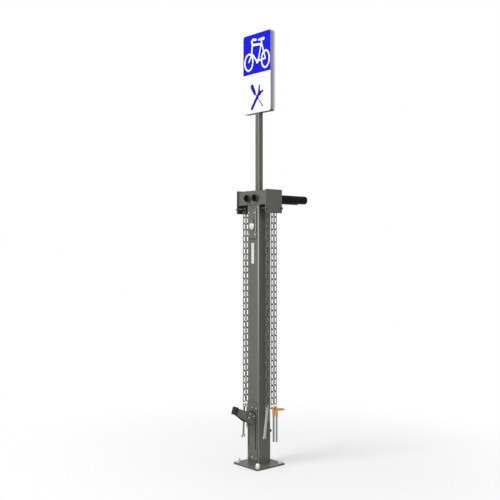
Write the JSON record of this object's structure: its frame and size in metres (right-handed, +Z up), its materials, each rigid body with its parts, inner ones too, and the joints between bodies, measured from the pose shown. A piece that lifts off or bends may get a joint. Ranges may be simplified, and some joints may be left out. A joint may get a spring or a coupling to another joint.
{
  "type": "bicycle repair station",
  "caption": "Square steel column with a foot pump pedal, tool chains, two padded hanging arms and a pole with a pictogram sign.",
  "frame": {"origin": "centre of the base plate's underside, between the four anchor holes", "axes": "+Z up, the front with the pump pedal faces -Y, +X to the right seen from the front"},
  "size_m": [0.2632, 0.4971, 2.3285],
  "materials": {
    "stand_paint": "satin powder coat, grey with a slight olive cast",
    "white_plastic": "gloss",
    "fastener_steel": "bright zinc",
    "label_strip": "satin, blank",
    "lock_metal": "satin grey die casting",
    "flap_chrome": "polished",
    "arm_rubber": "matt",
    "black_plastic": "satin",
    "pedal_rubber": "matt",
    "pump_aluminium": "turned",
    "rod_chrome": "ground and plated",
    "seal_rubber": "matt",
    "guide_brass": "turned",
    "spring_steel": "drawn wire",
    "pipe_brass": "drawn tube",
    "film_blue": "reflective film, white symbol",
    "film_white": "reflective film, blue symbol",
    "chain_zinc": "dull zinc",
    "tool_steel": "satin plated",
    "sleeve_orange": "semi-gloss",
    "handle_plastic": "semi-gloss"
  },
  "bodies": {
    "stand": {"air_pipe": "pipe_brass", "anchor_caps": "white_plastic", "arm_end_caps": "black_plastic", "arm_sleeve_left": "arm_rubber", "arm_sleeve_right": "arm_rubber", "arm_tube_left": "stand_paint", "arm_tube_right": "stand_paint", "base_plate": "stand_paint", "chain_bar_left": "stand_paint", "chain_bar_nuts": "fastener_steel", "chain_bar_right": "stand_paint", "column": "stand_paint", "column_cap": "stand_paint", "cover_screws": "fastener_steel", "head_front": "stand_paint", "head_rear": "stand_paint", "head_side_left": "stand_paint", "head_side_right": "stand_paint", "head_top": "stand_paint", "hinge_block": "lock_metal", "hose_gland": "black_plastic", "label_plate": "label_strip", "lock_cylinder": "lock_metal", "pole": "stand_paint", "pump_barrel": "pump_aluminium", "pump_base_block": "pump_aluminium", "pump_cover": "stand_paint", "return_spring": "spring_steel", "rod_guide": "guide_brass", "sign_clamps": "fastener_steel", "sign_film_lower": "film_white", "sign_film_upper": "film_blue", "sign_studs": "fastener_steel", "sign_tray": "stand_paint", "upper_cover": "stand_paint"},
    "pedal": {"pedal_arm": "stand_paint", "pedal_cap": "pedal_rubber", "pedal_carriage": "stand_paint", "pedal_bolts": "fastener_steel", "piston_rod": "rod_chrome", "piston": "pump_aluminium", "piston_seal": "seal_rubber"},
    "keyhole_flap": {"keyhole_flap": "flap_chrome"},
    "chain_right_front": {"chain_right_front": "chain_zinc"},
    "small_wrench": {"small_wrench": "tool_steel"},
    "chain_right_middle": {"chain_right_middle": "chain_zinc"},
    "small_hex_key": {"small_hex_key": "tool_steel"},
    "chain_right_rear": {"chain_right_rear": "chain_zinc"},
    "long_hex_keys": {"long_hex_keys": "tool_steel", "key_sleeves": "sleeve_orange"},
    "chain_left_front": {"chain_left_front": "chain_zinc"},
    "large_wrench": {"large_wrench": "tool_steel"},
    "chain_left_middle": {"chain_left_middle": "chain_zinc"},
    "tyre_lever": {"tyre_lever": "tool_steel"},
    "chain_left_rear": {"chain_left_rear": "chain_zinc"},
    "screwdriver": {"screwdriver_handle": "handle_plastic", "screwdriver_blade": "tool_steel"}
  },
  "joints": [
    {"name": "pedal_stroke", "type": "slide", "parent": "stand", "child": "pedal", "axis": [0, 0, -1], "range_m": [0, 0.125], "stiffness_N_per_m": 450, "springref_m": -0.1, "deforming": ["return_spring"]},
    {"name": "keyhole_flap_hinge", "type": "hinge", "parent": "stand", "child": "keyhole_flap", "pos_m": [0.002, -0.056, 1.3035], "axis": [-1, 0, 0], "range_deg": [0, 95]},
    {"name": "chain_right_front_swing", "type": "hinge", "parent": "stand", "child": "chain_right_front", "pos_m": [0.082, -0.015, 1.38], "axis": [0, -1, 0], "range_deg": [0, 35]},
    {"name": "small_wrench_swing", "type": "hinge", "parent": "chain_right_front", "child": "small_wrench", "pos_m": [0.082, -0.015, 0.33095], "axis": [0, -1, 0], "range_deg": [-5, 90]},
    {"name": "chain_right_middle_swing", "type": "hinge", "parent": "stand", "child": "chain_right_middle", "pos_m": [0.082, 0.021, 1.38], "axis": [0, -1, 0], "range_deg": [0, 35]},
    {"name": "small_hex_key_swing", "type": "hinge", "parent": "chain_right_middle", "child": "small_hex_key", "pos_m": [0.082, 0.021, 0.33095], "axis": [0, -1, 0], "range_deg": [-5, 90]},
    {"name": "chain_right_rear_swing", "type": "hinge", "parent": "stand", "child": "chain_right_rear", "pos_m": [0.082, 0.044, 1.38], "axis": [0, -1, 0], "range_deg": [0, 35]},
    {"name": "long_hex_keys_swing", "type": "hinge", "parent": "chain_right_rear", "child": "long_hex_keys", "pos_m": [0.082, 0.044, 0.33095], "axis": [0, -1, 0], "range_deg": [-5, 90]},
    {"name": "chain_left_front_swing", "type": "hinge", "parent": "stand", "child": "chain_left_front", "pos_m": [-0.082, -0.0355, 1.38], "axis": [0, 1, 0], "range_deg": [0, 35]},
    {"name": "large_wrench_swing", "type": "hinge", "parent": "chain_left_front", "child": "large_wrench", "pos_m": [-0.082, -0.0355, 0.33095], "axis": [0, 1, 0], "range_deg": [-5, 90]},
    {"name": "chain_left_middle_swing", "type": "hinge", "parent": "stand", "child": "chain_left_middle", "pos_m": [-0.082, -0.0135, 1.38], "axis": [0, 1, 0], "range_deg": [0, 35]},
    {"name": "tyre_lever_swing", "type": "hinge", "parent": "chain_left_middle", "child": "tyre_lever", "pos_m": [-0.082, -0.0135, 0.33095], "axis": [0, 1, 0], "range_deg": [-5, 90]},
    {"name": "chain_left_rear_swing", "type": "hinge", "parent": "stand", "child": "chain_left_rear", "pos_m": [-0.082, 0.016, 1.38], "axis": [0, 1, 0], "range_deg": [0, 35]},
    {"name": "screwdriver_swing", "type": "hinge", "parent": "chain_left_rear", "child": "screwdriver", "pos_m": [-0.082, 0.016, 0.33095], "axis": [0, 1, 0], "range_deg": [-5, 90]}
  ]
}
